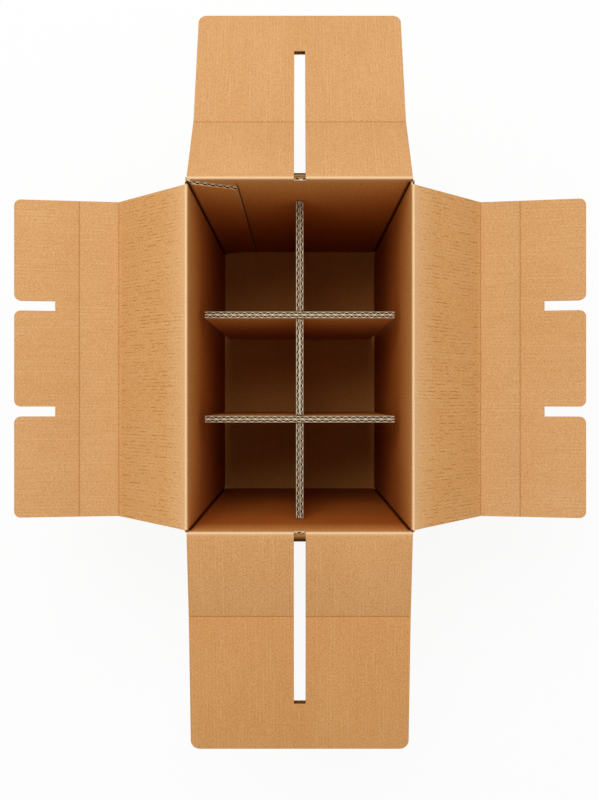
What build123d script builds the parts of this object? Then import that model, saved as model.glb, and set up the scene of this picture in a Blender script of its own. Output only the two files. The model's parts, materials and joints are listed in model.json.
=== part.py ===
"""Open corrugated shipping box for six bottles, with its partition and its slotted top flaps."""

import os
from math import cos, radians, sin, tan

from build123d import *

# Board
board = 3.0                  # single-wall board, B flute
fold_air = 0.2               # air between the root of a flap and the wall it folds on
crease_air = 0.6             # air between two panels of one flap at their crease
press_width = 3.0            # pressed crease line across a panel
press_depth = 0.8

# Box, outside
box_width = 202.0            # along X
box_length = 315.0           # along Y
rim_height = 340.0           # floor to the fold of the side flaps
bottom_seam = 0.4            # where the two outer bottom flaps meet
bottom_inset = 1.0           # ends of the outer bottom flaps, back from the end walls
inner_bottom_flap = 101.0    # depth of the two inner bottom flaps

# Glue tab, inside the back wall at the left corner
tab_width = 41.0
tab_drop = 4.5               # its shoulder below the rim fold
tab_taper = 20.0             # how much lower its free edge starts

# Side flaps, as they lie open
side_flap_inset = 8.25       # each end, from the outside of the end wall
root_flare = 3.2             # a lid panel is wider by this at its front root corner
divider_panel = 96.8         # second crease to free edge
third_crease = 37.2          # pressed line, from the second crease
tab_slot_depth = 37.4
tab_slot_width = 9.3
tab_corner = 6.0
side_droop = 40.0            # lid panels below level, degrees
left_rise = 6.5              # left divider panel above level, degrees
right_rise = 8.5             # right divider panel above level, degrees

# End flaps, as they lie open
end_flap_inset = 1.75        # each side edge, from the outside of the side wall
end_inner_panel = 77.8       # rim fold to crease
end_outer_panel = 125.1      # crease to free edge
end_slot_width = 10.5
end_slot_reach = 82.4        # past the crease, on the upper face
end_slot_slant = 2.5         # the far end is cut aslant, and is shorter by this on the lower face
bridge_start = 1.5           # uncut bridge at the fold end of the slot, from the fold axis
bridge_end = 4.8             # on the upper face
bridge_slant = 2.0           # its free edge is cut aslant too, and is longer by this on the lower face
bridge_press = 0.6           # its upper face is pressed down
end_corner = 8.0
back_inner_droop = 34.1      # inner panel below level, degrees
back_outer_droop = 18.4      # outer panel below level, degrees
front_inner_droop = 10.1     # inner panel below level, degrees
front_outer_droop = 6.4      # outer panel below level, degrees

# How far the flaps can hang, measured from the wall, degrees
least_fold_angle = 34.0

# Partition
partition_drop = 71.0        # its top edges below the rim fold
leaf_gap = 0.8               # between the two leaves of the long divider
long_divider_play = 1.2      # between its ends and the end walls
cross_divider_play = 6.4     # between the ends of the cross dividers and the side walls
cross_spacing = 100.8        # between the two cross dividers, centre to centre
cross_shift = 7.0            # both stand this far towards the front
lap_width = 8.6              # half-lap slots
lap_air = 0.4                # between the ends of two slots that meet
panel_play = 0.4             # between a lid's hanging panel and the long divider beside it

# Worked out from these
half_board = board / 2
half_width = box_width / 2
half_length = box_length / 2
inner_half_width = half_width - board
inner_half_length = half_length - board
corner_radius = 1.15 * board
bottom_radius = 0.8 * board
side_hinge_x = half_width - half_board
end_hinge_y = half_length - half_board
side_fold_height = rim_height
end_fold_height = rim_height - board
side_flap_width = box_length - 2 * side_flap_inset
end_flap_width = box_width - 2 * end_flap_inset
side_wall_top = side_fold_height - half_board - fold_air
end_wall_top = end_fold_height - half_board - fold_air
floor_top = 2 * board
partition_top = rim_height - partition_drop
lap_height = (partition_top + floor_top) / 2
lid_panel = side_hinge_x - leaf_gap / 2 - board - panel_play - half_board
relief_slope = tan(radians(least_fold_angle / 2))
relief_air = 0.1

up = Vector(0, 0, 1)
back = Vector(0, 1, 0)
front = Vector(0, -1, 0)
left = Vector(-1, 0, 0)
right = Vector(1, 0, 0)

os.makedirs("parts", exist_ok=True)


def save(piece, name):
    """Label a finished piece and write its STEP file."""
    piece.part.label = name
    export_step(piece.part, f"parts/{name}.step")


# Box shell: walls, bottom and glue tab, folded from one sheet

# The outer corner of a wall's top, crushed away so that the flap on it can hang down
relief_top = half_board + fold_air
relief_foot = (half_board + relief_air) / relief_slope
wall_relief = [
    (relief_slope * relief_top - relief_air, -relief_top),
    (half_board, -relief_foot),
    (board, -relief_foot),
    (board, 0),
    (relief_slope * relief_top - relief_air, 0),
]

with BuildPart() as box_shell:
    with BuildSketch():
        RectangleRounded(box_width, box_length, corner_radius)
    extrude(amount=side_wall_top)
    # Folds under the box along the side walls
    sole = box_shell.edges().group_by(Axis.Z)[0].filter_by(Axis.Y)
    fillet(sole, bottom_radius)
    # Inside
    with BuildSketch(Plane.XY.offset(board)):
        Rectangle(2 * inner_half_width, 2 * inner_half_length)
    extrude(amount=side_wall_top, mode=Mode.SUBTRACT)
    # Outer bottom flaps: cut a little short at the ends, with a seam where they meet
    with BuildSketch():
        with Locations((0, half_length), (0, -half_length)):
            Rectangle(box_width, 2 * bottom_inset)
        Rectangle(bottom_seam, box_length)
    extrude(amount=board, mode=Mode.SUBTRACT)
    # Inner bottom flaps, folded in from the end walls
    with BuildSketch(Plane.XY.offset(board)):
        with Locations(
            (0, half_length - inner_bottom_flap / 2),
            (0, inner_bottom_flap / 2 - half_length),
        ):
            Rectangle(2 * inner_half_width - 2 * bottom_inset, inner_bottom_flap - board)
    extrude(amount=board)
    # The end walls and the corners are one board lower than the side walls
    with BuildSketch(Plane.XY.offset(end_wall_top)):
        with Locations((0, half_length), (0, -half_length)):
            Rectangle(box_width, 2 * board + 2 * fold_air)
    extrude(amount=board + fold_air, mode=Mode.SUBTRACT)
    # Crushed top corners, as wide as the flaps
    for outward in (left, right):
        middle = outward * side_hinge_x + up * side_fold_height + front * root_flare / 2
        with BuildSketch(Plane(middle, outward, outward.cross(up))):
            with BuildLine():
                Polyline(*wall_relief, close=True)
            make_face()
        extrude(amount=(side_flap_width + root_flare) / 2 + fold_air, both=True, mode=Mode.SUBTRACT)
    for outward in (front, back):
        with BuildSketch(Plane(outward * end_hinge_y + up * end_fold_height, outward, outward.cross(up))):
            with BuildLine():
                Polyline(*wall_relief, close=True)
            make_face()
        extrude(amount=end_flap_width / 2 + fold_air, both=True, mode=Mode.SUBTRACT)
    # Glue tab: folded off the left wall and glued inside the back wall, tapered to its free edge
    with BuildSketch(Plane.XZ.offset(-inner_half_length)):
        with BuildLine():
            tab_top = rim_height - tab_drop
            tab_foot = floor_top + tab_drop
            Polyline(
                (-inner_half_width, tab_foot),
                (-inner_half_width + tab_width, tab_foot + tab_taper),
                (-inner_half_width + tab_width, tab_top - tab_taper),
                (-inner_half_width, tab_top),
                close=True,
            )
        make_face()
    extrude(amount=board)
save(box_shell, "box_shell")


# Top flaps. A panel's side view is drawn on a plane whose x runs outwards along the panel from its fold axis
# and whose y points out of its upper face.

def side_view(start, outward, rise):
    """The side-view plane of a panel that starts at a fold axis and rises outwards by an angle."""
    along = outward * cos(radians(rise)) + up * sin(radians(rise))
    return Plane(start, along, outward.cross(up))


def face_view(view):
    """The plane of the same panel seen on its upper face."""
    return Plane(view.origin, view.x_dir, view.y_dir)


# Underside of a panel at its rim fold, crushed away where it would meet the wall
root_relief = [
    (relief_foot, -half_board),
    (relief_air / relief_slope, 0),
]


def make_side_flap(outward, rise, lid_name, divider_name):
    """Both panels of a side flap: the lid, and the divider panel with three tabs."""
    lid_view = side_view(outward * side_hinge_x + up * side_fold_height, outward, -side_droop)
    with BuildPart() as lid:
        with BuildSketch(Plane(lid_view.origin + front * root_flare / 2, lid_view.x_dir, lid_view.z_dir)):
            with BuildLine():
                Polyline((0, 0), (0, half_board), (lid_panel, half_board), (lid_panel, -half_board),
                         *root_relief, close=True)
            make_face()
            # Rounded folds at both ends
            with Locations((0, 0), (lid_panel, 0)):
                Circle(half_board)
        extrude(amount=(side_flap_width + root_flare) / 2, both=True)
        # The front end narrows from the root to the second crease
        face = face_view(lid_view)
        ahead = face.y_dir.dot(front)
        narrow = root_flare / lid_panel * board
        with BuildSketch(face):
            with BuildLine():
                Polyline(
                    (-board, ahead * (side_flap_width / 2 + root_flare + narrow)),
                    (lid_panel + board, ahead * (side_flap_width / 2 - narrow)),
                    (lid_panel + board, ahead * side_flap_width),
                    (-board, ahead * side_flap_width),
                    close=True,
                )
            make_face()
        extrude(amount=board, both=True, mode=Mode.SUBTRACT)
    save(lid, lid_name)

    crease = lid_view.origin + lid_view.x_dir * lid_panel
    view = side_view(crease, outward, rise)
    start = half_board + crease_air
    with BuildPart() as divider:
        with BuildSketch(view):
            with BuildLine():
                Polyline(
                    (start, -half_board),
                    (start, 0),
                    (start + crease_air / 2, half_board),
                    (third_crease - press_width / 2, half_board),
                    (third_crease, half_board - press_depth),
                    (third_crease + press_width / 2, half_board),
                    (divider_panel, half_board),
                    (divider_panel, -half_board),
                    close=True,
                )
            make_face()
        extrude(amount=side_flap_width / 2, both=True)
        # Two slots from the free edge make three tabs
        with BuildSketch(face_view(view)):
            with Locations((divider_panel, side_flap_width / 6), (divider_panel, -side_flap_width / 6)):
                Rectangle(2 * tab_slot_depth, tab_slot_width)
        extrude(amount=board, both=True, mode=Mode.SUBTRACT)
        upright = divider.edges().filter_by(Axis((0, 0, 0), tuple(view.y_dir)))
        fillet(upright.group_by(Axis((0, 0, 0), tuple(view.x_dir)))[-1], tab_corner)
    save(divider, divider_name)


def make_end_flap(outward, inner_rise, outer_rise, name):
    """An end flap: two panels with a pressed crease between them and one long slot."""
    inner = side_view(outward * end_hinge_y + up * end_fold_height, outward, inner_rise)
    crease = inner.origin + inner.x_dir * end_inner_panel
    outer = side_view(crease, outward, outer_rise)
    with BuildPart() as flap:
        with BuildSketch(inner):
            with BuildLine():
                Polyline((0, 0), (0, half_board), (end_inner_panel, half_board),
                         (end_inner_panel, -half_board), *root_relief, close=True)
            make_face()
            with Locations((0, 0), (end_inner_panel, 0)):
                Circle(half_board)
        extrude(amount=end_flap_width / 2, both=True)
        with BuildSketch(outer):
            with Locations((end_outer_panel / 2, 0)):
                Rectangle(end_outer_panel, board)
        extrude(amount=end_flap_width / 2, both=True)
        # Pressed crease
        with BuildSketch(side_view(crease, outward, (inner_rise + outer_rise) / 2)):
            with BuildLine():
                Polyline((0, half_board - press_depth), (press_width / 2, board), (-press_width / 2, board), close=True)
            make_face()
        extrude(amount=end_flap_width / 2, both=True, mode=Mode.SUBTRACT)
        # Slot. Its two ends are cut aslant, so each panel's part of it is drawn in side view.
        deep = board / 2
        near = bridge_slant / board
        far = end_slot_slant / board
        with BuildSketch(inner):
            with BuildLine():
                Polyline(
                    (bridge_end - near * deep, half_board + deep),
                    (bridge_end + near * (board + deep), -half_board - deep),
                    (end_inner_panel + half_board, -half_board - deep),
                    (end_inner_panel + half_board, half_board + deep),
                    close=True,
                )
            make_face()
        extrude(amount=end_slot_width / 2, both=True, mode=Mode.SUBTRACT)
        with BuildSketch(outer):
            with BuildLine():
                Polyline(
                    (-half_board, half_board + deep),
                    (-half_board, -half_board - deep),
                    (end_slot_reach - far * (board + deep), -half_board - deep),
                    (end_slot_reach + far * deep, half_board + deep),
                    close=True,
                )
            make_face()
        extrude(amount=end_slot_width / 2, both=True, mode=Mode.SUBTRACT)
        # The fold is cut through across the slot's width. A narrow pressed bridge stays between fold and slot.
        with BuildSketch(inner):
            with Locations(((bridge_start - board) / 2, 0)):
                Rectangle(bridge_start + board, 2 * board)
            with Locations((bridge_start + bridge_end, board - bridge_press / 2)):
                Rectangle(2 * bridge_end, board + bridge_press)
        extrude(amount=end_slot_width / 2, both=True, mode=Mode.SUBTRACT)
        upright = flap.edges().filter_by(Axis((0, 0, 0), tuple(outer.y_dir)))
        fillet(upright.group_by(Axis((0, 0, 0), tuple(outer.x_dir)))[-1], end_corner)
    save(flap, name)


make_side_flap(left, left_rise, "left_lid_panel", "left_divider_panel")
make_side_flap(right, right_rise, "right_lid_panel", "right_divider_panel")
make_end_flap(back, -back_inner_droop, -back_outer_droop, "back_end_flap")
make_end_flap(front, -front_inner_droop, -front_outer_droop, "front_end_flap")


# Partition: leaves that slot into each other at half their height

cross_lines = [-cross_shift - cross_spacing / 2, -cross_shift + cross_spacing / 2]


def make_long_leaf(x, name):
    """A leaf along the box, slotted from above at both cross dividers."""
    with BuildPart() as leaf:
        with BuildSketch(Plane.YZ.offset(x)):
            with Locations((0, (floor_top + partition_top) / 2)):
                Rectangle(2 * inner_half_length - 2 * long_divider_play, partition_top - floor_top)
            with Locations(*[(y, partition_top) for y in cross_lines]):
                Rectangle(lap_width, 2 * (partition_top - lap_height) + lap_air, mode=Mode.SUBTRACT)
        extrude(amount=half_board, both=True)
    save(leaf, name)


def make_cross_leaf(y, name):
    """A board across the box, slotted from below over both leaves of the long divider."""
    with BuildPart() as leaf:
        with BuildSketch(Plane.XZ.offset(-y)):
            with Locations((0, (floor_top + partition_top) / 2)):
                Rectangle(2 * inner_half_width - 2 * cross_divider_play, partition_top - floor_top)
            with Locations((0, floor_top)):
                Rectangle(lap_width, 2 * (lap_height - floor_top) + lap_air, mode=Mode.SUBTRACT)
        extrude(amount=half_board, both=True)
    save(leaf, name)


make_long_leaf(-(leaf_gap + board) / 2, "left_long_divider")
make_long_leaf((leaf_gap + board) / 2, "right_long_divider")
make_cross_leaf(cross_lines[0] - half_board, "front_cross_divider_outer")
make_cross_leaf(cross_lines[0] + half_board, "front_cross_divider_inner")
make_cross_leaf(cross_lines[1] - half_board, "back_cross_divider_inner")
make_cross_leaf(cross_lines[1] + half_board, "back_cross_divider_outer")
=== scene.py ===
"""Kraft looks of the open shipping box with its slotted partition.

Every sheet is laid out flat as real corrugated board, two liners with a wave-shaped medium between them. It is cut
in the flat, and then folded to its place round the CAD part.
"""

import json
from math import atan2, cos, pi, radians, sin, tan

import bmesh
import bpy
from mathutils import Matrix, Vector


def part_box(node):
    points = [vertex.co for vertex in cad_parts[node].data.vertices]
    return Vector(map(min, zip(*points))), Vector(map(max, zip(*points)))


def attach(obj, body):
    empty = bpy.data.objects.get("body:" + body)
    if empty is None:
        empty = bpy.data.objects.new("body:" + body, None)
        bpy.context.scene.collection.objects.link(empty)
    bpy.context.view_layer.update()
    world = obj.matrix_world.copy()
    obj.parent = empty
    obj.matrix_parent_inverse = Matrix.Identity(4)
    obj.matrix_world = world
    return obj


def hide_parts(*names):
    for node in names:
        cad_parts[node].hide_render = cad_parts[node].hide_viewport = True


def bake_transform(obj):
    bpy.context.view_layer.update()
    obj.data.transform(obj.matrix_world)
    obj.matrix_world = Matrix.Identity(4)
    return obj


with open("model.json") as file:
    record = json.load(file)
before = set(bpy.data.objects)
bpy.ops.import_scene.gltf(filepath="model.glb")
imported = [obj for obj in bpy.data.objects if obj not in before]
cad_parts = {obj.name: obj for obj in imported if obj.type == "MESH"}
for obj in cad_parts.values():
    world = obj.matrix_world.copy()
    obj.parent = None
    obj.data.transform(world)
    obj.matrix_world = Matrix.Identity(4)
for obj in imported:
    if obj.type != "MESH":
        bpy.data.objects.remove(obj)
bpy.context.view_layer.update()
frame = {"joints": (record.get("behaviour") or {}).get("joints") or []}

# Sizes in millimetres, as in the CAD part

BOARD = 3.0
HALF = BOARD / 2
PITCH = 6.4                # one flute of the box's board
PARTITION_PITCH = 7.6      # and of the partition's
FLUTE_STEPS = 12           # how finely a flute's wave is drawn
LINER, MEDIUM = 0.50, 0.40
WALL_LINER, WALL_MEDIUM = 0.45, 0.60        # the walls' glue tab shows its frayed edge
PARTITION_LINER, PARTITION_MEDIUM = 0.36, 0.40
WASHBOARD = 0.035          # how far a liner sinks between two flutes
SKIN = 0.3                 # a fold's skin: its thickness,
PROUD = 0.04               # how far it stands over the liner it covers,
SUNK = 0.12                # and how far its ends run in below the liner's face

SHELL_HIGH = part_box("box_shell")[1] * 1000
HALF_WIDTH = SHELL_HIGH.x
HALF_LENGTH = SHELL_HIGH.y
SIDE_WALL_TOP = SHELL_HIGH.z
END_WALL_TOP = SIDE_WALL_TOP - BOARD
RIM = SIDE_WALL_TOP + HALF + 0.2    # height of the side flaps' fold axes
WALL_X = HALF_WIDTH - HALF          # middle of a side wall
WALL_Y = HALF_LENGTH - HALF
INNER_X = HALF_WIDTH - BOARD
INNER_Y = HALF_LENGTH - BOARD
CORNER = 1.75                       # radius of the board's middle in an upright fold
SHADE_HEIGHTS = [240.0, 290.0, 316.0, 327.0]     # where the walls' painted shade is recorded; it runs evenly between
BOTTOM_FLAP = 101.0
BOTTOM_LIP = 4.0                    # the short foot of a wall that is drawn with its bottom flap

GLUE_TAB = 41.0                     # from the left wall's inner face to the free edge
GLUE_TAB_TAPER = 20.0               # how far its ends slant over that length
GLUE_TAB_DROP = 4.5                 # how far its root stands below the rim, and above the floor

SIDE_FLAP = 298.5
SIDE_DROOP = 40.0
SIDE_RISE = {"left": 6.5, "right": 8.5}
ROOT_FLARE = 3.2                    # at a lid panel's front root corner
LID_END = 2.0                       # a lid panel ends this far before the second crease,
PANEL_START = 2.3                   # and the divider panel starts this far after it
DIVIDER_PANEL = 96.8
THIRD_CREASE = 37.2
TAB_SLOT = 37.4
TAB_SLOT_WIDTH = 9.3
TAB_CORNER = 6.0

END_FLAP = 198.5
END_INNER, END_OUTER = 77.8, 125.1
END_SLOT_WIDTH = 10.5
HALF_SLOT = END_SLOT_WIDTH / 2
END_SLOT_END = END_INNER + 82.4     # on the upper face
END_SLOT_SLANT = 2.5
BRIDGE = (1.5, 4.8)                 # on the upper face
BRIDGE_SLANT = 2.0
BRIDGE_PRESS = 0.6
END_CORNER = 8.0
END_ANGLES = {"back": (-34.1, -18.4), "front": (-10.1, -6.4)}

# Where a flap's root and the wall below it are crushed, so that the flap can hang: how far along the board, how far
# below the board's middle the crush starts, and how far it runs past the flap's ends
RELIEF_LONG = 5.2
RELIEF_SHORT = 1.7
RELIEF_LEFT = 0.43
RELIEF_SPARE = 0.5
RELIEF_ANGLE = atan2(HALF - RELIEF_LEFT, RELIEF_LONG - RELIEF_SHORT)

LAP_WIDTH = 8.6                     # a half-lap slot over a pair of leaves
LAP_PLAY = 0.2

LID_PAINTED_LIGHT = 0.3                      # how much painted light pales a lid panel's liner beside its fold
LID_PAINTED_LIGHT_REACH = 28.0

# A sheet's papers, in the order of its material slots
OUTSIDE, EDGE, INSIDE, LID_PAPER = 0, 1, 2, 3

UP = Vector((0, 0, 1))
LEFT, RIGHT = Vector((-1, 0, 0)), Vector((1, 0, 0))
BACK, FRONT = Vector((0, 1, 0)), Vector((0, -1, 0))

JOINTS = {joint["name"]: joint for joint in frame["joints"]}


# Materials

def srgb(colour):
    """A hex colour as linear red, green, blue and alpha."""
    parts = [int(colour[i:i + 2], 16) / 255 for i in (1, 3, 5)]
    return [c / 12.92 if c <= 0.04045 else ((c + 0.055) / 1.055) ** 2.4 for c in parts] + [1.0]


class Nodes:
    """The node tree of a material or a world, filled one node at a time."""

    def __init__(self, owner):
        self.owner = owner
        self.owner.use_nodes = True
        self.tree = self.owner.node_tree
        self.tree.nodes.clear()

    def add(self, kind, inputs=None, **settings):
        """Adds a node, sets it, joins or fills its inputs, and gives its outputs."""
        node = self.tree.nodes.new(kind)
        for key, value in settings.items():
            setattr(node, key, value)
        for key, value in (inputs or {}).items():
            if isinstance(value, bpy.types.NodeSocket):
                self.tree.links.new(value, node.inputs[key])
            else:
                node.inputs[key].default_value = value
        return node.outputs


def on_sheet(nodes, size, offset=0.0):
    """The place on the flat sheet, counted in steps of a size in millimetres: across and along the flutes."""
    place = nodes.add("ShaderNodeAttribute", attribute_name="sheet")["Vector"]
    scale = [1000 / s for s in size]
    return nodes.add("ShaderNodeMapping", {"Vector": place, "Location": (offset, 0, 0), "Scale": scale})["Vector"]


def pulp_lumps(nodes, size, detail, roughness=0.5):
    """Cloudy values on the flat sheet, in lumps of a size in millimetres."""
    return nodes.add("ShaderNodeTexNoise", {
        "Vector": on_sheet(nodes, size), "Scale": 1.0, "Detail": detail, "Roughness": roughness})["Fac"]


def flute_lines(nodes, pitch, width, offset, patches, low, high):
    """1 on thin lines along the flutes, one to each pitch, where cloudy patches rise from low to high."""
    across = nodes.add("ShaderNodeSeparateXYZ", {"Vector": on_sheet(nodes, (pitch, pitch, pitch), offset + 0.5)})
    away = nodes.add("ShaderNodeMath", {0: across["X"], 1: 0.5}, operation="PINGPONG")
    line = nodes.add("ShaderNodeMapRange", {
        "Value": away["Value"], "From Min": width / pitch, "From Max": 0.2 * width / pitch})
    shown = nodes.add("ShaderNodeMapRange", {"Value": patches, "From Min": low, "From Max": high})
    return nodes.add("ShaderNodeMath", {0: line["Result"], 1: shown["Result"]}, operation="MULTIPLY")["Value"]


def paper(name, tone, light, dark, pitch=PITCH, grain=0.5, lines=0.0):
    """A brown paper: a barely cloudy tone, pulp grain, flecks and, over flutes, broken dark and pale lines.

    Its point attribute holds painted shade in creases, folds, gaps and on the crushed bridge (x, 0 to 2), paler
    liner stretched over a fold with a painted highlight and painted light (y, 0 to 1), and painted shade further
    down the box (z, 0 to 2).
    """
    nodes = Nodes(bpy.data.materials.new(name))
    cloud = pulp_lumps(nodes, (60, 110, 60), 3.0)
    fine = pulp_lumps(nodes, (0.8, 1.4, 0.8), 2.0, 0.6)
    fleck = pulp_lumps(nodes, (1.4, 0.9, 1.4), 1.0)
    wear_and_painted_light = nodes.add("ShaderNodeAttribute", attribute_name="wear_and_painted_light")["Vector"]
    wear_and_light_parts = nodes.add("ShaderNodeSeparateXYZ", {"Vector": wear_and_painted_light})
    # Each layer's tint, where it lies, the values between which it comes in, its full share, and how it is laid
    layers = [
        (light, cloud, 0.3, 0.7, 1.0, "MIX"),
        # Pulp grain, drawn out a little along the flutes
        (dark, fine, 0.48, 0.76, grain, "MIX"),
        ("#f3cf9e", fine, 0.50, 0.26, grain * 0.6, "MIX"),
        # Flecks of bark and of bleached pulp
        ("#8a5c34", fleck, 0.73, 0.79, 0.55, "MIX"),
        ("#f0d0a2", fleck, 0.28, 0.22, 0.6, "MIX"),
    ]
    if lines:
        breaks = pulp_lumps(nodes, (2.4, 10.0, 2.4), 2.0, 0.6)
        crests = flute_lines(nodes, pitch / 2, 0.45, 0.0, breaks, 0.50, 0.62)
        streaks = pulp_lumps(nodes, (4.0, 50.0, 4.0), 1.0)
        between = flute_lines(nodes, pitch / 2, 0.6, 0.5, streaks, 0.50, 0.60)
        layers += [(dark, crests, 0.0, 1.0, lines, "MIX"), ("#f6d3a4", between, 0.0, 1.0, 0.16, "MIX")]
    layers += [
        # Liner paler where stretched over a fold, with painted highlight and light; painted shade in creases and
        # gaps
        ("#fdd5a4", wear_and_light_parts["Y"], 0.0, 1.0, 0.9, "MIX"),
        ("#a06a34", wear_and_light_parts["X"], 0.0, 1.25, 1.0, "MIX"),
        ("#4e2e16", wear_and_light_parts["X"], 1.0, 2.0, 1.0, "MIX"),
        # Painted shade further down in the box: a darker, browner tone
        ("#ffe8ba", wear_and_light_parts["Z"], 0.0, 1.0, 1.0, "MULTIPLY"),
        ("#d2ab82", wear_and_light_parts["Z"], 1.0, 2.0, 1.0, "MULTIPLY"),
    ]
    colour = srgb(tone)
    for tint, where, low, high, full, way in layers:
        share = nodes.add("ShaderNodeMapRange", {
            "Value": where, "From Min": low, "From Max": high, "To Max": full})["Result"]
        colour = nodes.add("ShaderNodeMix", {0: share, 6: colour, 7: srgb(tint)}, data_type="RGBA",
                           blend_type=way)[2]
    relief = nodes.add("ShaderNodeBump", {"Height": fine, "Strength": 0.25, "Distance": 0.00006})
    rough = nodes.add("ShaderNodeMapRange", {"Value": cloud, "To Min": 0.80, "To Max": 0.92})
    surface = nodes.add("ShaderNodeBsdfPrincipled", {
        "Base Color": colour, "Roughness": rough["Result"], "IOR": 1.5, "Specular IOR Level": 0.06,
        "Normal": relief["Normal"]})
    nodes.add("ShaderNodeOutputMaterial", {"Surface": surface["BSDF"]})
    return nodes.owner


# Outer and inner liner of the box: warm tan, matt, with broken lines where the flutes show through
KRAFT = paper("kraft_liner", "#d9a168", "#dfa870", "#b37a40", grain=0.75, lines=0.35)
# The lid panels' liner: flutes show through more strongly, and a lighter tone paints light the sloping lids lack
KRAFT_LID = paper("kraft_lid_liner_painted_lighter", "#e0a463", "#e4aa69", "#a5682d", grain=0.8, lines=0.85)
# Raw cut edges of the liners and the medium: pale, fluffy pulp
CUT_EDGE = paper("kraft_cut_edge", "#ffe6bc", "#fff0d2", "#efcd9a", grain=0.3)
# Recycled medium inside the board: darker paper, toned very dark to paint the shade in the flute channels
FLUTING = paper("fluting_medium", "#38230f", "#422b16", "#28180a", grain=0.4)
# Partition board: the same kraft, a little fuller in colour, with cream cut edges
PARTITION = paper("partition_liner", "#cd955a", "#d49c61", "#a06c36", pitch=PARTITION_PITCH, grain=0.45, lines=0.4)
PARTITION_EDGE = paper("partition_cut_edge", "#ffe1b6", "#ffecce", "#f4d09e", grain=0.2)

BOX_PAPERS = (KRAFT, CUT_EDGE, FLUTING)
LID_PAPERS = (KRAFT_LID, CUT_EDGE, FLUTING)
SKIN_PAPERS = (KRAFT, CUT_EDGE, FLUTING, KRAFT_LID)
PARTITION_PAPERS = (PARTITION, PARTITION_EDGE, FLUTING)


# Flat board

def as_object(made, name):
    """Turns a bmesh into a linked object."""
    mesh = bpy.data.meshes.new(name)
    made.to_mesh(mesh)
    made.free()
    thing = bpy.data.objects.new(name, mesh)
    bpy.context.scene.collection.objects.link(thing)
    return thing


def as_cutter(made):
    """Turns a bmesh into a tool for combine. Where it cuts, the raw edge shows."""
    for face in made.faces:
        face.material_index = EDGE
    return as_object(made, "cutter")


def spread(start, end, step):
    """Even stations from start to end, no further apart than a step."""
    count = max(1, round((end - start) / step + 0.49))
    return [start + (end - start) * i / count for i in range(count + 1)]


def layer(target, columns, rows, height, thickness, paper_index):
    """Adds one paper of the board, drawn out from a grid: height(u) is the middle of the paper above the board's."""
    flat = bmesh.new()
    bmesh.ops.create_grid(flat, x_segments=len(columns) - 1, y_segments=len(rows) - 1, size=0.5)
    for vert in flat.verts:
        u = columns[round((vert.co.x + 0.5) * (len(columns) - 1))]
        v = rows[round((vert.co.y + 0.5) * (len(rows) - 1))]
        vert.co = (u, v, height(u) + thickness / 2)
    bmesh.ops.recalc_face_normals(flat, faces=flat.faces[:])
    if flat.faces[:][0].normal.z < 0:
        bmesh.ops.reverse_faces(flat, faces=flat.faces[:])
    bmesh.ops.solidify(flat, geom=flat.faces[:], thickness=thickness)
    for face in flat.faces:
        face.material_index = paper_index
    made = bpy.data.meshes.new("layer")
    flat.to_mesh(made)
    flat.free()
    target.from_mesh(made)
    bpy.data.meshes.remove(made)


def board(name, u_range, rows, phase=0.0, pitch=PITCH, liner=LINER, medium=MEDIUM):
    """A flat piece of corrugated board: u across the flutes, v along them, n up through the board."""
    columns = spread(u_range[0], u_range[1], pitch / FLUTE_STEPS)
    turn = 2 * pi / pitch
    swing = (BOARD - 2 * liner - 2 * WASHBOARD - medium) / 2 - 0.02
    sheet = bmesh.new()
    layer(sheet, columns, rows,
          lambda u: HALF - liner / 2 - WASHBOARD * (1 - cos(turn * (u + phase))) / 2, liner, OUTSIDE)
    layer(sheet, columns, rows,
          lambda u: -HALF + liner / 2 + WASHBOARD * (1 + cos(turn * (u + phase))) / 2, liner, OUTSIDE)
    layer(sheet, columns, rows, lambda u: swing * cos(turn * (u + phase)), medium, INSIDE)
    return as_object(sheet, name)


def block(low, high, radius=0.0):
    """A cutting block between two corners (u, v, n). A radius rounds the upright edges at its far end in v."""
    made = bmesh.new()
    middle = (Vector(low) + Vector(high)) / 2
    size = Vector(high) - Vector(low)
    bmesh.ops.create_cube(made, size=1.0, matrix=Matrix.Translation(middle) @ Matrix.Diagonal((*size, 1)))
    if radius:
        edges = [e for e in made.edges
                 if abs(e.verts[0].co.x - e.verts[1].co.x) < 1e-6
                 and abs(e.verts[0].co.y - e.verts[1].co.y) < 1e-6 and e.verts[0].co.y > middle.y]
        bmesh.ops.bevel(made, geom=edges, offset=radius, offset_type="OFFSET", segments=7, profile=0.5,
                        affect="EDGES", material=-1)
    return as_cutter(made)


def crusher(u_range, v, slope):
    """A cutting block that takes what lies under a flap's fold, below a slanting plane that starts at v."""
    made = bmesh.new()
    size = 30.0
    length = u_range[1] - u_range[0]
    bmesh.ops.create_cube(made, size=1.0, matrix=Matrix.Diagonal((length, size, size, 1)))
    bmesh.ops.translate(made, vec=(0, 0, -size / 2), verts=made.verts[:])
    bmesh.ops.rotate(made, cent=(0, 0, 0), matrix=Matrix.Rotation(slope, 3, "X"), verts=made.verts[:])
    bmesh.ops.translate(made, vec=((u_range[0] + u_range[1]) / 2, v, -RELIEF_LEFT), verts=made.verts[:])
    return as_cutter(made)


def combine(thing, tool, operation="DIFFERENCE"):
    """Cuts, joins or trims a thing with a tool, and removes the tool."""
    step = thing.modifiers.new("cut", "BOOLEAN")
    step.object = tool
    step.operation = operation
    step.solver = "MANIFOLD"
    graph = bpy.context.evaluated_depsgraph_get()
    made = bpy.data.meshes.new_from_object(thing.evaluated_get(graph))
    old = thing.data
    thing.modifiers.clear()
    thing.data = made
    made.name = old.name
    bpy.data.meshes.remove(old)
    bpy.data.objects.remove(tool)


def unworn(u, v, n):
    """Paper with no wear."""
    return (0.0, 0.0, 0.0)


def near(v, line, reach):
    """1 on a line, and down to 0 within a reach of it."""
    return max(0.0, 1 - abs(v - line) / reach)


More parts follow.
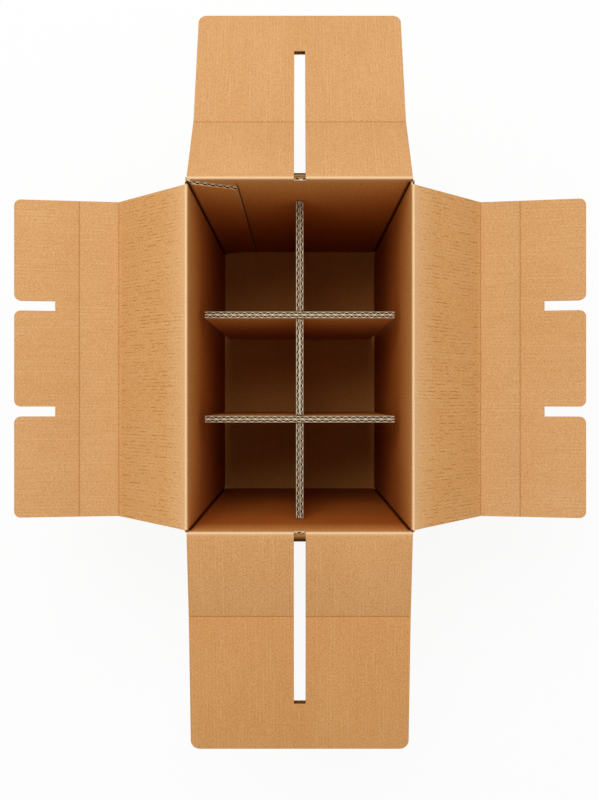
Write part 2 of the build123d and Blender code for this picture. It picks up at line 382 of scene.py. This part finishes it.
def finish_board(sheet, place, papers, shift=(0.0, 0.0), wear_and_painted_light=unworn, hollow=True):
    """Records each point's place on the flat sheet, its painted shade, paling and painted light, names the faces'
    papers, and folds the sheet.

    The shift gives each sheet its own stretch of the papers' patterns. In a hollow sheet the liners' faces towards
    the flutes get the medium's very dark paper, a painted shade inside the flutes.
    """
    mesh = sheet.data
    record = mesh.attributes.new("sheet", "FLOAT_VECTOR", "POINT")
    wear_and_light_parts = mesh.attributes.new("wear_and_painted_light", "FLOAT_VECTOR", "POINT")
    for i, vert in enumerate(mesh.vertices):
        record.data[i].vector = ((vert.co.x + shift[0]) / 1000, (vert.co.y + shift[1]) / 1000, vert.co.z / 1000)
        wear_and_light_parts.data[i].vector = wear_and_painted_light(*vert.co)
    mesh.materials.clear()
    for material in papers:
        mesh.materials.append(material)
    for face in mesh.polygons:
        if face.material_index == INSIDE:
            if abs(face.normal.y) > 0.6:
                face.material_index = EDGE
        elif abs(face.normal.z) > 0.5:
            inside = abs(face.center.z) < HALF - LINER * 0.6
            face.material_index = INSIDE if inside and hollow else OUTSIDE
        else:
            face.material_index = EDGE
    for vert in mesh.vertices:
        vert.co = place(*vert.co) / 1000
    mesh.set_sharp_from_angle(angle=radians(35))
    mesh.update()


# Folding

class Track:
    """A line of straight stretches and round turns. at(s) gives the point and the heading at a distance along it."""

    def __init__(self, corners, radius):
        self.stretches = []
        here = Vector(corners[0])
        for i in range(1, len(corners)):
            corner = Vector(corners[i])
            heading = (corner - here).normalized()
            if i + 1 < len(corners):
                onward = (Vector(corners[i + 1]) - corner).normalized()
                turn = atan2(heading.x * onward.y - heading.y * onward.x, heading.dot(onward))
                cut = radius * tan(abs(turn) / 2)
                self.stretches.append(("line", here, heading, (corner - here).length - cut, 0.0))
                self.stretches.append(("turn", corner - heading * cut, heading, radius * abs(turn), turn))
                here = corner + onward * cut
            else:
                self.stretches.append(("line", here, heading, (corner - here).length, 0.0))

    def at(self, s):
        for stretch in self.stretches:
            if s <= stretch[3] or stretch is self.stretches[-1]:
                break
            s -= stretch[3]
        kind, start, heading, length, turn = stretch
        if kind == "line":
            return start + heading * s, heading
        side = 1 if turn > 0 else -1
        radius = length / abs(turn)
        centre = start + Vector((-heading.y, heading.x)) * radius * side
        turned = Matrix.Rotation(turn * max(0.0, s) / length, 2) @ heading
        return centre - Vector((-turned.y, turned.x)) * radius * side, turned

    def starts(self):
        """Distances at which the stretches start, and the total."""
        marks, total = [], 0.0
        for stretch in self.stretches:
            marks.append(total)
            total += stretch[3]
        return marks, total


def outward_place(centre, outward, track, side=1):
    """Folds a sheet whose v follows a side-view track (outwards, up) and whose u runs across, along the fold."""
    across = UP.cross(outward)

    def place(u, v, n):
        point, heading = track.at(v)
        spot = point + Vector((-heading.y, heading.x)) * n * side
        return centre + outward * spot.x + UP * spot.y + across * u

    return place


def unit(angle):
    """Side-view direction at an angle above level, in degrees."""
    return Vector((cos(radians(angle)), sin(radians(angle))))


def joint_point(name):
    """A fold's axis, in millimetres."""
    return Vector(JOINTS[name]["pos_m"]) * 1000


# Box walls: one sheet that runs from the glue tab round the four sides

wall_line = Track([
    (-INNER_X + GLUE_TAB, INNER_Y - HALF),
    (-WALL_X, INNER_Y - HALF),
    (-WALL_X, -WALL_Y),
    (WALL_X, -WALL_Y),
    (WALL_X, WALL_Y),
    (-HALF_WIDTH, WALL_Y),
], CORNER)
marks, wall_total = wall_line.starts()
# Its stretches, of which the odd ones are the upright folds
TAB_FOLD, LEFT_WALL, LEFT_FOLD, FRONT_WALL, RIGHT_FOLD, RIGHT_WALL, BACK_FOLD, BACK_WALL = range(1, 9)
walls = board("box_walls", (0, wall_total), [0.0, *SHADE_HEIGHTS, SIDE_WALL_TOP], phase=2.0, liner=WALL_LINER,
              medium=WALL_MEDIUM)
front_u = (marks[LEFT_FOLD], marks[RIGHT_WALL])
back_u = (marks[BACK_FOLD], wall_total + 1)
for u0, u1 in (front_u, back_u):
    combine(walls, block((u0, END_WALL_TOP, -10), (u1, SIDE_WALL_TOP + 10, 10)))
    combine(walls, block((u0, -10, -10), (u1, BOARD + BOTTOM_LIP, 10)))
for u0, u1 in ((marks[TAB_FOLD], marks[LEFT_FOLD]), (marks[RIGHT_WALL], marks[BACK_FOLD])):
    combine(walls, block((u0, -10, -10), (u1, BOTTOM_LIP, 10)))
# Crushed outer edge under each flap. The left and back walls aren't the same on both sides of their middles, so
# those are counted from where x or y is 0.
left_middle = marks[LEFT_WALL] + wall_line.stretches[LEFT_WALL][1].y
right_middle = (marks[RIGHT_WALL] + marks[BACK_FOLD]) / 2
front_middle = (marks[FRONT_WALL] + marks[RIGHT_FOLD]) / 2
back_middle = marks[BACK_WALL] + wall_line.stretches[BACK_WALL][1].x
side_reach, end_reach = SIDE_FLAP / 2 + RELIEF_SPARE, END_FLAP / 2 + RELIEF_SPARE
# The line runs to the front along the left wall, and to the back along the right one
for span, top in (((left_middle - side_reach, left_middle + side_reach + ROOT_FLARE), SIDE_WALL_TOP),
                  ((right_middle - side_reach - ROOT_FLARE, right_middle + side_reach), SIDE_WALL_TOP),
                  ((front_middle - end_reach, front_middle + end_reach), END_WALL_TOP),
                  ((back_middle - end_reach, back_middle + end_reach), END_WALL_TOP)):
    combine(walls, crusher(span, top, RELIEF_ANGLE))
# Glue tab: lower than the walls and tapered to its free edge
taper = atan2(GLUE_TAB_TAPER, GLUE_TAB)
for v, slope, lift in ((RIM - GLUE_TAB_DROP, taper, 1), (2 * BOARD + GLUE_TAB_DROP, -taper, -1)):
    made = bmesh.new()
    bmesh.ops.create_cube(made, size=1.0, matrix=Matrix.Diagonal((120, 60, 20, 1)))
    bmesh.ops.translate(made, vec=(-60, lift * 30, 0), verts=made.verts[:])
    bmesh.ops.rotate(made, cent=(0, 0, 0), matrix=Matrix.Rotation(slope, 3, "Z"), verts=made.verts[:])
    bmesh.ops.translate(made, vec=(marks[TAB_FOLD], v, 0), verts=made.verts[:])
    combine(walls, as_cutter(made))

TAB_LINE = wall_total - (-INNER_X + GLUE_TAB + HALF_WIDTH)      # where the glue tab's free edge meets the back wall
TAB_LINE_TOP = 317.0                                            # and the height up to which a painted shadow lies beside it on the wall
FOLD_MIDDLES = [marks[i] + wall_line.stretches[i][3] / 2 for i in (TAB_FOLD, LEFT_FOLD, RIGHT_FOLD, BACK_FOLD)]


def corner_fold(u, reach=2.2):
    """1 in the middle of an upright fold, and down to 0 within a reach of it."""
    return max(near(u, middle, reach) for middle in FOLD_MIDDLES)


def wall_place(u, v, n):
    """Stands the sheet up along the wall line, with its inner side pressed together in the upright folds."""
    if n > 0:
        n *= 1 - 0.7 * corner_fold(u)
    point, heading = wall_line.at(u)
    side = Vector((-heading.y, heading.x))
    return Vector((point.x + side.x * n, point.y + side.y * n, v))


def wall_stretch_and_shade(u, v, n):
    """Outer liner paler round the upright folds; inside, painted shade in the folds and down the wall, and a painted
    shadow by the glue tab.
    """
    if n < 0:
        return (0.0, 0.6 * corner_fold(u), 0.0)
    # Painted shade down the wall, darker sooner on the front wall, and a painted shadow beside the glue tab's free
    # edge
    depth = END_WALL_TOP - v
    shade_below_rim = min(1.0, max(0.0, depth / 9))
    shade_further_down = min(1.0, max(0.0, (depth - 9) / (36 if front_u[0] < u < front_u[1] else 110)))
    beside_tab = 1.9 * near(u, TAB_LINE - 0.8, 1.3) if v < TAB_LINE_TOP else 0.0
    return (max(beside_tab, 2.6 * corner_fold(u, 4.6)), 0.0, shade_below_rim + shade_further_down)


finish_board(walls, wall_place, BOX_PAPERS, wear_and_painted_light=wall_stretch_and_shade)
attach(walls, "box")
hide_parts("box_shell")


# Bottom flaps, folded under from the walls

def bottom_flap(name, outward, wall, fold_height, depth, width, phase):
    """A bottom flap: a short stretch of wall, the fold, and the flap inwards."""
    line = Track([(wall, fold_height + BOTTOM_LIP), (wall, fold_height + HALF), (wall - depth, fold_height + HALF)],
                 1.7)
    _, total = line.starts()
    turn_start = line.stretches[0][3]
    turn_end = turn_start + line.stretches[1][3]
    rows = [0.0] + spread(turn_start, turn_end, 0.45) + [total]
    flap = board(name, (-width / 2, width / 2), rows, phase=phase)
    # Painted shade over the whole flap, as at the bottom of the box
    finish_board(flap, outward_place(Vector((0, 0, 0)), outward, line, side=-1), BOX_PAPERS, shift=(500, 0),
                 wear_and_painted_light=lambda u, v, n: (0.0, 0.0, 1.0))
    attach(flap, "box")


bottom_flap("bottom_outer_left", LEFT, WALL_X, 0.0, WALL_X - 0.2, 2 * HALF_LENGTH - 2.0, 0.0)
bottom_flap("bottom_outer_right", RIGHT, WALL_X, 0.0, WALL_X - 0.2, 2 * HALF_LENGTH - 2.0, 1.0)
bottom_flap("bottom_inner_back", BACK, WALL_Y, BOARD, BOTTOM_FLAP - HALF, 2 * INNER_X - 2.0, 0.5)
bottom_flap("bottom_inner_front", FRONT, WALL_Y, BOARD, BOTTOM_FLAP - HALF, 2 * INNER_X - 2.0, 1.5)


# Side flaps

def pressed(n, share):
    """A point of the board where it is pressed from above to a share of its thickness."""
    return -HALF + (n + HALF) * share


def root_span(outward):
    """A lid panel's two ends along its fold. The front one is flared."""
    front = UP.cross(outward).dot(FRONT) * (SIDE_FLAP / 2 + ROOT_FLARE)
    return min(-SIDE_FLAP / 2, front), max(SIDE_FLAP / 2, front)


def flare_cutter(ahead, lid_length):
    """The block that narrows a lid's front end from its root to the second crease."""
    cutter = block((-100, -30, -5), (100, lid_length + 30, 5))
    for vert in cutter.data.vertices:
        edge = SIDE_FLAP / 2 + ROOT_FLARE * (1 - vert.co.y / lid_length)
        vert.co.x = ahead * (edge if vert.co.x * ahead < 0 else SIDE_FLAP)
    return cutter


def side_flap(side, outward):
    """A lid panel from the rim to the second crease, and the divider panel with its tabs after it."""
    hinge = joint_point(f"{side}_flap_fold")
    crease = joint_point(f"{side}_panel_fold")
    lid_length = (crease - hinge).length
    line = Track([(0, 0), tuple(unit(-SIDE_DROOP) * lid_length)], 1.0)
    lid = board(f"{side}_lid_board", root_span(outward),
                [RELIEF_SHORT, 5.0, 12.0, LID_PAINTED_LIGHT_REACH, lid_length - 6.0, lid_length - LID_END], phase=0.8)
    combine(lid, flare_cutter(UP.cross(outward).dot(FRONT), lid_length))
    combine(lid, crusher((-SIDE_FLAP, SIDE_FLAP), RELIEF_SHORT, -RELIEF_ANGLE))
    # Painted shade that grows towards the crease, and painted light that pales the lid near the rim
    finish_board(lid, outward_place(Vector((hinge.x, 0, hinge.z)), outward, line), LID_PAPERS, shift=(900, 0),
                 wear_and_painted_light=lambda u, v, n: (0.16 * v / lid_length, LID_PAINTED_LIGHT * max(0.0, 1 - v / LID_PAINTED_LIGHT_REACH), 0.0))
    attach(lid, f"{side}_lid")
    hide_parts(f"{side}_lid_panel")

    line = Track([(0, 0), tuple(unit(SIDE_RISE[side]) * DIVIDER_PANEL)], 1.0)
    rows = [PANEL_START, 6.0, *(THIRD_CREASE + d for d in (-1.4, -0.8, -0.4, 0.0, 0.4, 0.8, 1.4)), DIVIDER_PANEL + 1]
    half = SIDE_FLAP / 2
    panel = board(f"{side}_divider_board", (-half, half), rows, phase=0.8)
    outline = block((-half - 1, PANEL_START - 1, -5), (half + 1, DIVIDER_PANEL - TAB_SLOT, 5))
    slot, half_slot = SIDE_FLAP / 6, TAB_SLOT_WIDTH / 2
    for u0, u1 in ((-half, -slot - half_slot), (-slot + half_slot, slot - half_slot), (slot + half_slot, half)):
        tab = block((u0, DIVIDER_PANEL - TAB_SLOT - 10, -5), (u1, DIVIDER_PANEL, 5), TAB_CORNER)
        combine(outline, tab, "UNION")
    combine(panel, outline, "INTERSECT")
    flat = outward_place(Vector((crease.x, 0, crease.z)), outward, line)
    # Painted shade along the third crease
    finish_board(panel, lambda u, v, n: flat(u, v, pressed(n, 1 - 0.26 * near(v, THIRD_CREASE, 1.4))), BOX_PAPERS,
                 shift=(900, lid_length), wear_and_painted_light=lambda u, v, n: (0.65 * near(v, THIRD_CREASE, 0.8), 0.0, 0.0))
    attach(panel, f"{side}_panel")
    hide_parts(f"{side}_divider_panel")


side_flap("left", LEFT)
side_flap("right", RIGHT)


# End flaps

def end_flap(name, outward):
    """An end flap with its crease, its long slot and, at the rim, the crushed bridge between slot and notch."""
    inner, outer = END_ANGLES[name]
    hinge = joint_point(f"{name}_flap_fold")
    crease = unit(inner) * END_INNER
    bend = radians(outer - inner)
    total = END_INNER + END_OUTER
    rows = [RELIEF_SHORT, 5.0, *(END_INNER + d for d in (-1.6, -0.8, -0.4, 0.0, 0.4, 0.8, 1.6)), total + 1]
    half = END_FLAP / 2
    flap = board(f"{name}_flap_board", (-half, half), rows, phase=1.4)
    outline = block((-half - 1, 0, -5), (half + 1, 100, 5))
    combine(outline, block((-half, 90, -5), (half, total, 5), END_CORNER), "UNION")
    combine(flap, outline, "INTERSECT")
    slot = block((-HALF_SLOT, BRIDGE[1], -BOARD), (HALF_SLOT, END_SLOT_END, BOARD))
    for vert in slot.data.vertices:
        depth = HALF - vert.co.z
        vert.co.y += depth * (BRIDGE_SLANT if vert.co.y < END_INNER else -END_SLOT_SLANT) / BOARD
    combine(flap, slot)
    combine(flap, block((-HALF_SLOT, -5, -5), (HALF_SLOT, BRIDGE[0], 5)))
    combine(flap, crusher((-END_FLAP, END_FLAP), RELIEF_SHORT, -RELIEF_ANGLE))
    across = UP.cross(outward)

    def place(u, v, n):
        share = 1 - 0.3 * near(v, END_INNER, 1.6)
        if v < 8.0 and abs(u) < HALF_SLOT - 0.05:
            share = 1 - BRIDGE_PRESS / BOARD
        n = pressed(n, share)
        if abs(v - END_INNER) < 1e-3:
            middle = unit((inner + outer) / 2)
            spot = crease + Vector((-middle.y, middle.x)) * n / cos(bend / 2)
        else:
            way = unit(inner if v < END_INNER else outer)
            start = Vector((0, 0)) if v < END_INNER else crease
            spot = start + way * (v if v < END_INNER else v - END_INNER) + Vector((-way.y, way.x)) * n
        return hinge + outward * spot.x + UP * spot.y + across * u

    def wear_and_painted_light(u, v, n):
        """Painted shade along the pressed crease, and on the crushed bridge, darkest at the slot's slanted end; the
        front flap gets painted shade all over, more past the crease.
        """
        if abs(u) < HALF_SLOT + 0.05 and v < BRIDGE[1] + BRIDGE_SLANT + 0.3:
            return (0.85 if v < BRIDGE[1] - 0.1 else 1.9, 0.0, 0.0)
        creased = 0.8 * near(v, END_INNER, 0.8)
        if outward.y > 0:
            return (creased, 0.0, 0.0)
        return (max(0.04 if v < END_INNER else 0.19, creased), 0.0, 0.16 if v < END_INNER else 0.3)

    finish_board(flap, place, BOX_PAPERS, shift=(1300, 0), wear_and_painted_light=wear_and_painted_light)
    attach(flap, f"{name}_flap")
    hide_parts(f"{name}_end_flap")


end_flap("back", BACK)
end_flap("front", FRONT)


# Fold skins: the liner that runs on from one panel to the next, over or into the crease

def skin(name, hinge, outward, points, radius, spans, side, shift, wear_and_painted_light=(0.0, 0.0, 0.0),
         lid_until=0.0, slot=0.0):
    """A thin strip of liner along a side-view line round a fold axis.

    The triple after shift gives how much painted shade lies in its crease, how much paler it is at its fold, where
    the liner is stretched and a painted highlight is laid, and how much painted light pales it beyond the fold. Up
    to lid_until it is the lids' paper. slot is half the width of the stretch that is painted brown, a painted shade
    on the crushed bridge, and dark at its far end.
    """
    line = Track(points, radius)
    rows, length_so_far = [0.0], 0.0
    for kind, _, _, length, _ in line.stretches:
        rows += spread(length_so_far, length_so_far + length, 0.35 if kind == "turn" else 1.0)[1:]
        length_so_far += length
    fold_marks, _ = line.starts()
    fold = max(range(len(fold_marks)), key=lambda i: abs(line.stretches[i][4]))
    middle = fold_marks[fold] + line.stretches[fold][3] / 2
    strip = bmesh.new()
    for low, high in spans:
        layer(strip, spread(low, high, PITCH / 2), rows, lambda u: -SKIN / 2, SKIN, OUTSIDE)
    thing = as_object(strip, name)
    # Painted shade in the crease, paling at the fold (stretched liner with a painted highlight), and painted light
    # beyond it
    press_and_shade, stretch, rest = wear_and_painted_light

    def stretched(v):
        return max(stretch * near(v, middle + 0.5, 2.2), rest if v > middle else 0.0)

    def pressed_and_shaded(u, v):
        if abs(u) < slot and v > middle - 1.5:
            return 2.0 if v > middle + 4.5 else 1.0
        return press_and_shade * near(v, middle, 0.9)

    finish_board(thing, outward_place(hinge, outward, line, side=side), SKIN_PAPERS, shift=shift,
                 wear_and_painted_light=lambda u, v, n: (pressed_and_shaded(u, v), stretched(v), 0.0), hollow=False)
    record = thing.data.attributes["sheet"].data
    for face in thing.data.polygons:
        along = sum(record[i].vector.y for i in face.vertices) / len(face.vertices) * 1000 - shift[1]
        if face.material_index == OUTSIDE and along < lid_until:
            face.material_index = LID_PAPER
    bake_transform(thing)


ROUND_START = HALF_WIDTH - HALF - CORNER - 0.2      # where an end wall starts to turn into its upright fold


def rim_skins(side, outward, droop, spans, pale=0.0):
    """Inner liner over the rim, and outer liner pressed into the fold."""
    hinge = joint_point(f"{side}_flap_fold")
    along = unit(-droop)
    normal = Vector((-along.y, along.x))
    out, low = HALF + PROUD, HALF - SUNK
    # Over the rim: up the wall's inner face, round the fold axis, and out along the flap's upper face
    top = Vector((-out, out * tan((pi / 2 + radians(droop)) / 2)))
    points = [(-low, -7.0), (-out, -4.0), tuple(top), tuple(along * 4.0 + normal * out),
              tuple(along * 7.0 + normal * low)]
    # Paler along the fold, where the liner is stretched, with a painted highlight there; on the lids, painted light
    # runs on beyond it
    skin(f"{side}_rim_skin_inside", hinge, outward, points, out, spans,
         1, (2000, 0), wear_and_painted_light=(0.0, 1.0, pale))
    # Into the fold on the outside, where it also runs on across the end flaps' slots
    wall_lip = Vector((RELIEF_LEFT, -RELIEF_SHORT))
    flap_lip = along * RELIEF_SHORT - normal * RELIEF_LEFT
    flap_foot = along * RELIEF_LONG - normal * HALF
    shove = 0.06
    points = [(low, -9.5), (HALF + shove, -RELIEF_LONG - 0.05), (RELIEF_LEFT + shove, -RELIEF_SHORT),
              tuple((wall_lip + flap_lip) * 0.18), tuple(flap_lip - normal * shove),
              tuple(flap_foot - normal * shove + along * 0.05), tuple(along * 8.0 - normal * low)]
    # Across an end flap's slot, the outer skin is painted brown and, at its far end, dark: painted shade on the
    # crushed bridge
    slot = 0.0
    if outward.x == 0:
        slot = HALF_SLOT - 0.01
        spans = [(-ROUND_START, -HALF_SLOT), (0.02 - HALF_SLOT, HALF_SLOT - 0.02), (HALF_SLOT, ROUND_START)]
    skin(f"{side}_rim_skin_outside", hinge, outward, points, 0.25, spans, -1,
         (2400, 0), slot=slot)


end_spans = [(-END_FLAP / 2, -HALF_SLOT), (HALF_SLOT, END_FLAP / 2)]
rim_skins("left", LEFT, SIDE_DROOP, [root_span(LEFT)], pale=LID_PAINTED_LIGHT)
rim_skins("right", RIGHT, SIDE_DROOP, [root_span(RIGHT)], pale=LID_PAINTED_LIGHT)
rim_skins("back", BACK, -END_ANGLES["back"][0], end_spans)
rim_skins("front", FRONT, -END_ANGLES["front"][0], end_spans)


def crease_skins(side, outward):
    """Liner pressed into the second crease from above, and stretched round it below."""
    hinge = joint_point(f"{side}_panel_fold")
    spans = [(-SIDE_FLAP / 2, SIDE_FLAP / 2)]
    rise = SIDE_RISE[side]
    lid, panel = unit(-SIDE_DROOP), unit(rise)
    lid_up, panel_up = Vector((-lid.y, lid.x)), Vector((-panel.y, panel.x))
    middle = unit((rise - SIDE_DROOP) / 2)
    bend = radians(rise + SIDE_DROOP)
    low, out = HALF - SUNK, HALF + PROUD
    meet = out * tan(bend / 2)
    bottom = Vector((-middle.y, middle.x)) * (out / cos(bend / 2) - 0.7)
    points = [-lid * 6 + lid_up * low, -lid * 4.5 + lid_up * out, -lid * (meet + 0.6) + lid_up * out, bottom,
              panel * (meet + 0.6) + panel_up * out, panel * 4.5 + panel_up * out, panel * 6 + panel_up * low]
    # Painted shade along the crease above
    skin(f"{side}_crease_skin_above", hinge, outward, points, 0.2, spans, 1, (2800, 0),
         wear_and_painted_light=(0.5, 0.0, 0.0), lid_until=5.6)
    points = [-lid * 6 - lid_up * low, -lid * 4 - lid_up * out, lid * meet - lid_up * out,
              panel * 4 - panel_up * out, panel * 6 - panel_up * low]
    skin(f"{side}_crease_skin_below", hinge, outward, points, out, spans, -1, (3200, 0),
         wear_and_painted_light=(0.0, 0.6, 0.0), lid_until=6.0)


crease_skins("left", LEFT)
crease_skins("right", RIGHT)


# Partition

def leaf(node, along_x, phase):
    """One leaf of the partition: board whose flutes stand upright, with its half-lap slots."""
    low, high = [corner * 1000 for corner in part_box(node)]
    middle = (low + high) / 2
    half = (high.x - low.x) / 2 if along_x else (high.y - low.y) / 2
    shaded_from = high.z - 30
    sheet = board(f"{node}_board", (-half, half), [low.z, middle.z, shaded_from, high.z], phase=phase,
                  pitch=PARTITION_PITCH, liner=PARTITION_LINER, medium=PARTITION_MEDIUM)
    width = LAP_WIDTH / 2
    if along_x:
        combine(sheet, block((-width, low.z - 5, -5), (width, middle.z + LAP_PLAY, 5)))
    else:
        for name in ("back", "front"):
            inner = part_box(f"{name}_cross_divider_inner")
            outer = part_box(f"{name}_cross_divider_outer")
            centre = (min(inner[0].y, outer[0].y) + max(inner[1].y, outer[1].y)) * 500 - middle.y
            combine(sheet, block((centre - width, middle.z - LAP_PLAY, -5), (centre + width, high.z + 5, 5)))

    def place(u, v, n):
        if along_x:
            return Vector((middle.x + u, middle.y + n, v))
        return Vector((middle.x + n, middle.y + u, v))

    finish_board(sheet, place, PARTITION_PAPERS, shift=(3600 + middle.x * 10 + middle.y * 3, 0),
                 wear_and_painted_light=lambda u, v, n: (0.0, 0.0, 1.0 if v < shaded_from + 1 else 0.0))
    if not along_x:
        sheet.data.flip_normals()
    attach(sheet, "box")
    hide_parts(node)


leaf("left_long_divider", False, 0.0)
leaf("right_long_divider", False, 2.3)
leaf("back_cross_divider_outer", True, 0.0)
leaf("back_cross_divider_inner", True, 3.0)
leaf("front_cross_divider_inner", True, 1.2)
leaf("front_cross_divider_outer", True, 4.4)


# Floor, light and camera

FLOOR_PLAIN = 0.85      # how much of the floor is plain white to the eye; the rest shows the soft shadow
FLOOR_GLOW = 1.04       # brings the lit floor to white
WORLD_LIGHT = 0.62      # the soft light all round
EYE_HEIGHT = 668.7      # above the rim
PICTURE_HEIGHT = 800    # in pixels, as the focal length
FOCAL_LENGTH = 765


def seen_directly(nodes):
    """1 for what the eye or a shiny surface sees, and 0 for the light that falls on things."""
    path = nodes.add("ShaderNodeLightPath")
    share = path["Is Camera Ray"]
    for kind in ("Is Glossy Ray", "Is Transmission Ray"):
        share = nodes.add("ShaderNodeMath", {0: share, 1: path[kind]}, operation="MAXIMUM")["Value"]
    return share


paint = Nodes(bpy.data.materials.new("white_floor"))
diffuse = paint.add("ShaderNodeBsdfDiffuse", {"Color": (0.8, 0.8, 0.8, 1)})
plain = paint.add("ShaderNodeEmission", {"Color": (1, 1, 1, 1), "Strength": FLOOR_GLOW})
share = paint.add("ShaderNodeMath", {0: seen_directly(paint), 1: FLOOR_PLAIN}, operation="MULTIPLY")
shown = paint.add("ShaderNodeMixShader", {0: share["Value"], 1: diffuse["BSDF"], 2: plain["Emission"]})
paint.add("ShaderNodeOutputMaterial", {"Surface": shown["Shader"]})
made = bmesh.new()
bmesh.ops.create_grid(made, x_segments=1, y_segments=1, size=6.0,
                      matrix=Matrix.Translation((0, 0, -0.0002)))
floor = as_object(made, "floor")
floor.data.materials.append(paint.owner)

# The eye sees plain white all round, and everything is lit by a softer white
air = Nodes(bpy.data.worlds.new("studio"))
bpy.context.scene.world = air.owner
level = air.add("ShaderNodeMapRange", {"Value": seen_directly(air), "To Min": WORLD_LIGHT, "To Max": 1.0})
sky = air.add("ShaderNodeBackground", {"Color": (1, 1, 1, 1), "Strength": level["Result"]})
air.add("ShaderNodeOutputWorld", {"Surface": sky["Background"]})


def lamp(name, place, target, size, power):
    """A square soft light aimed at a point."""
    light = bpy.data.lights.new(name, "AREA")
    light.shape = "SQUARE"
    light.size = size
    light.energy = power
    thing = bpy.data.objects.new(name, light)
    thing.location = place
    thing.rotation_mode = "QUATERNION"
    thing.rotation_quaternion = (Vector(target) - Vector(place)).to_track_quat("-Z", "Y")
    bpy.context.scene.collection.objects.link(thing)


lamp("key_light", (-0.2, 0.7, 1.75), (0, 0, 0.3), 0.9, 12.0)

camera = bpy.data.cameras.new("camera")
camera.sensor_width = 36.0
camera.lens = camera.sensor_width * FOCAL_LENGTH / PICTURE_HEIGHT
camera.clip_start = 0.01
camera.clip_end = 20
eye = bpy.data.objects.new("camera", camera)
eye.location = (-0.0002, -0.0389, (RIM + EYE_HEIGHT) / 1000)
bpy.context.scene.collection.objects.link(eye)
bpy.context.scene.camera = eye

bpy.context.scene.view_settings.view_transform = "Standard"
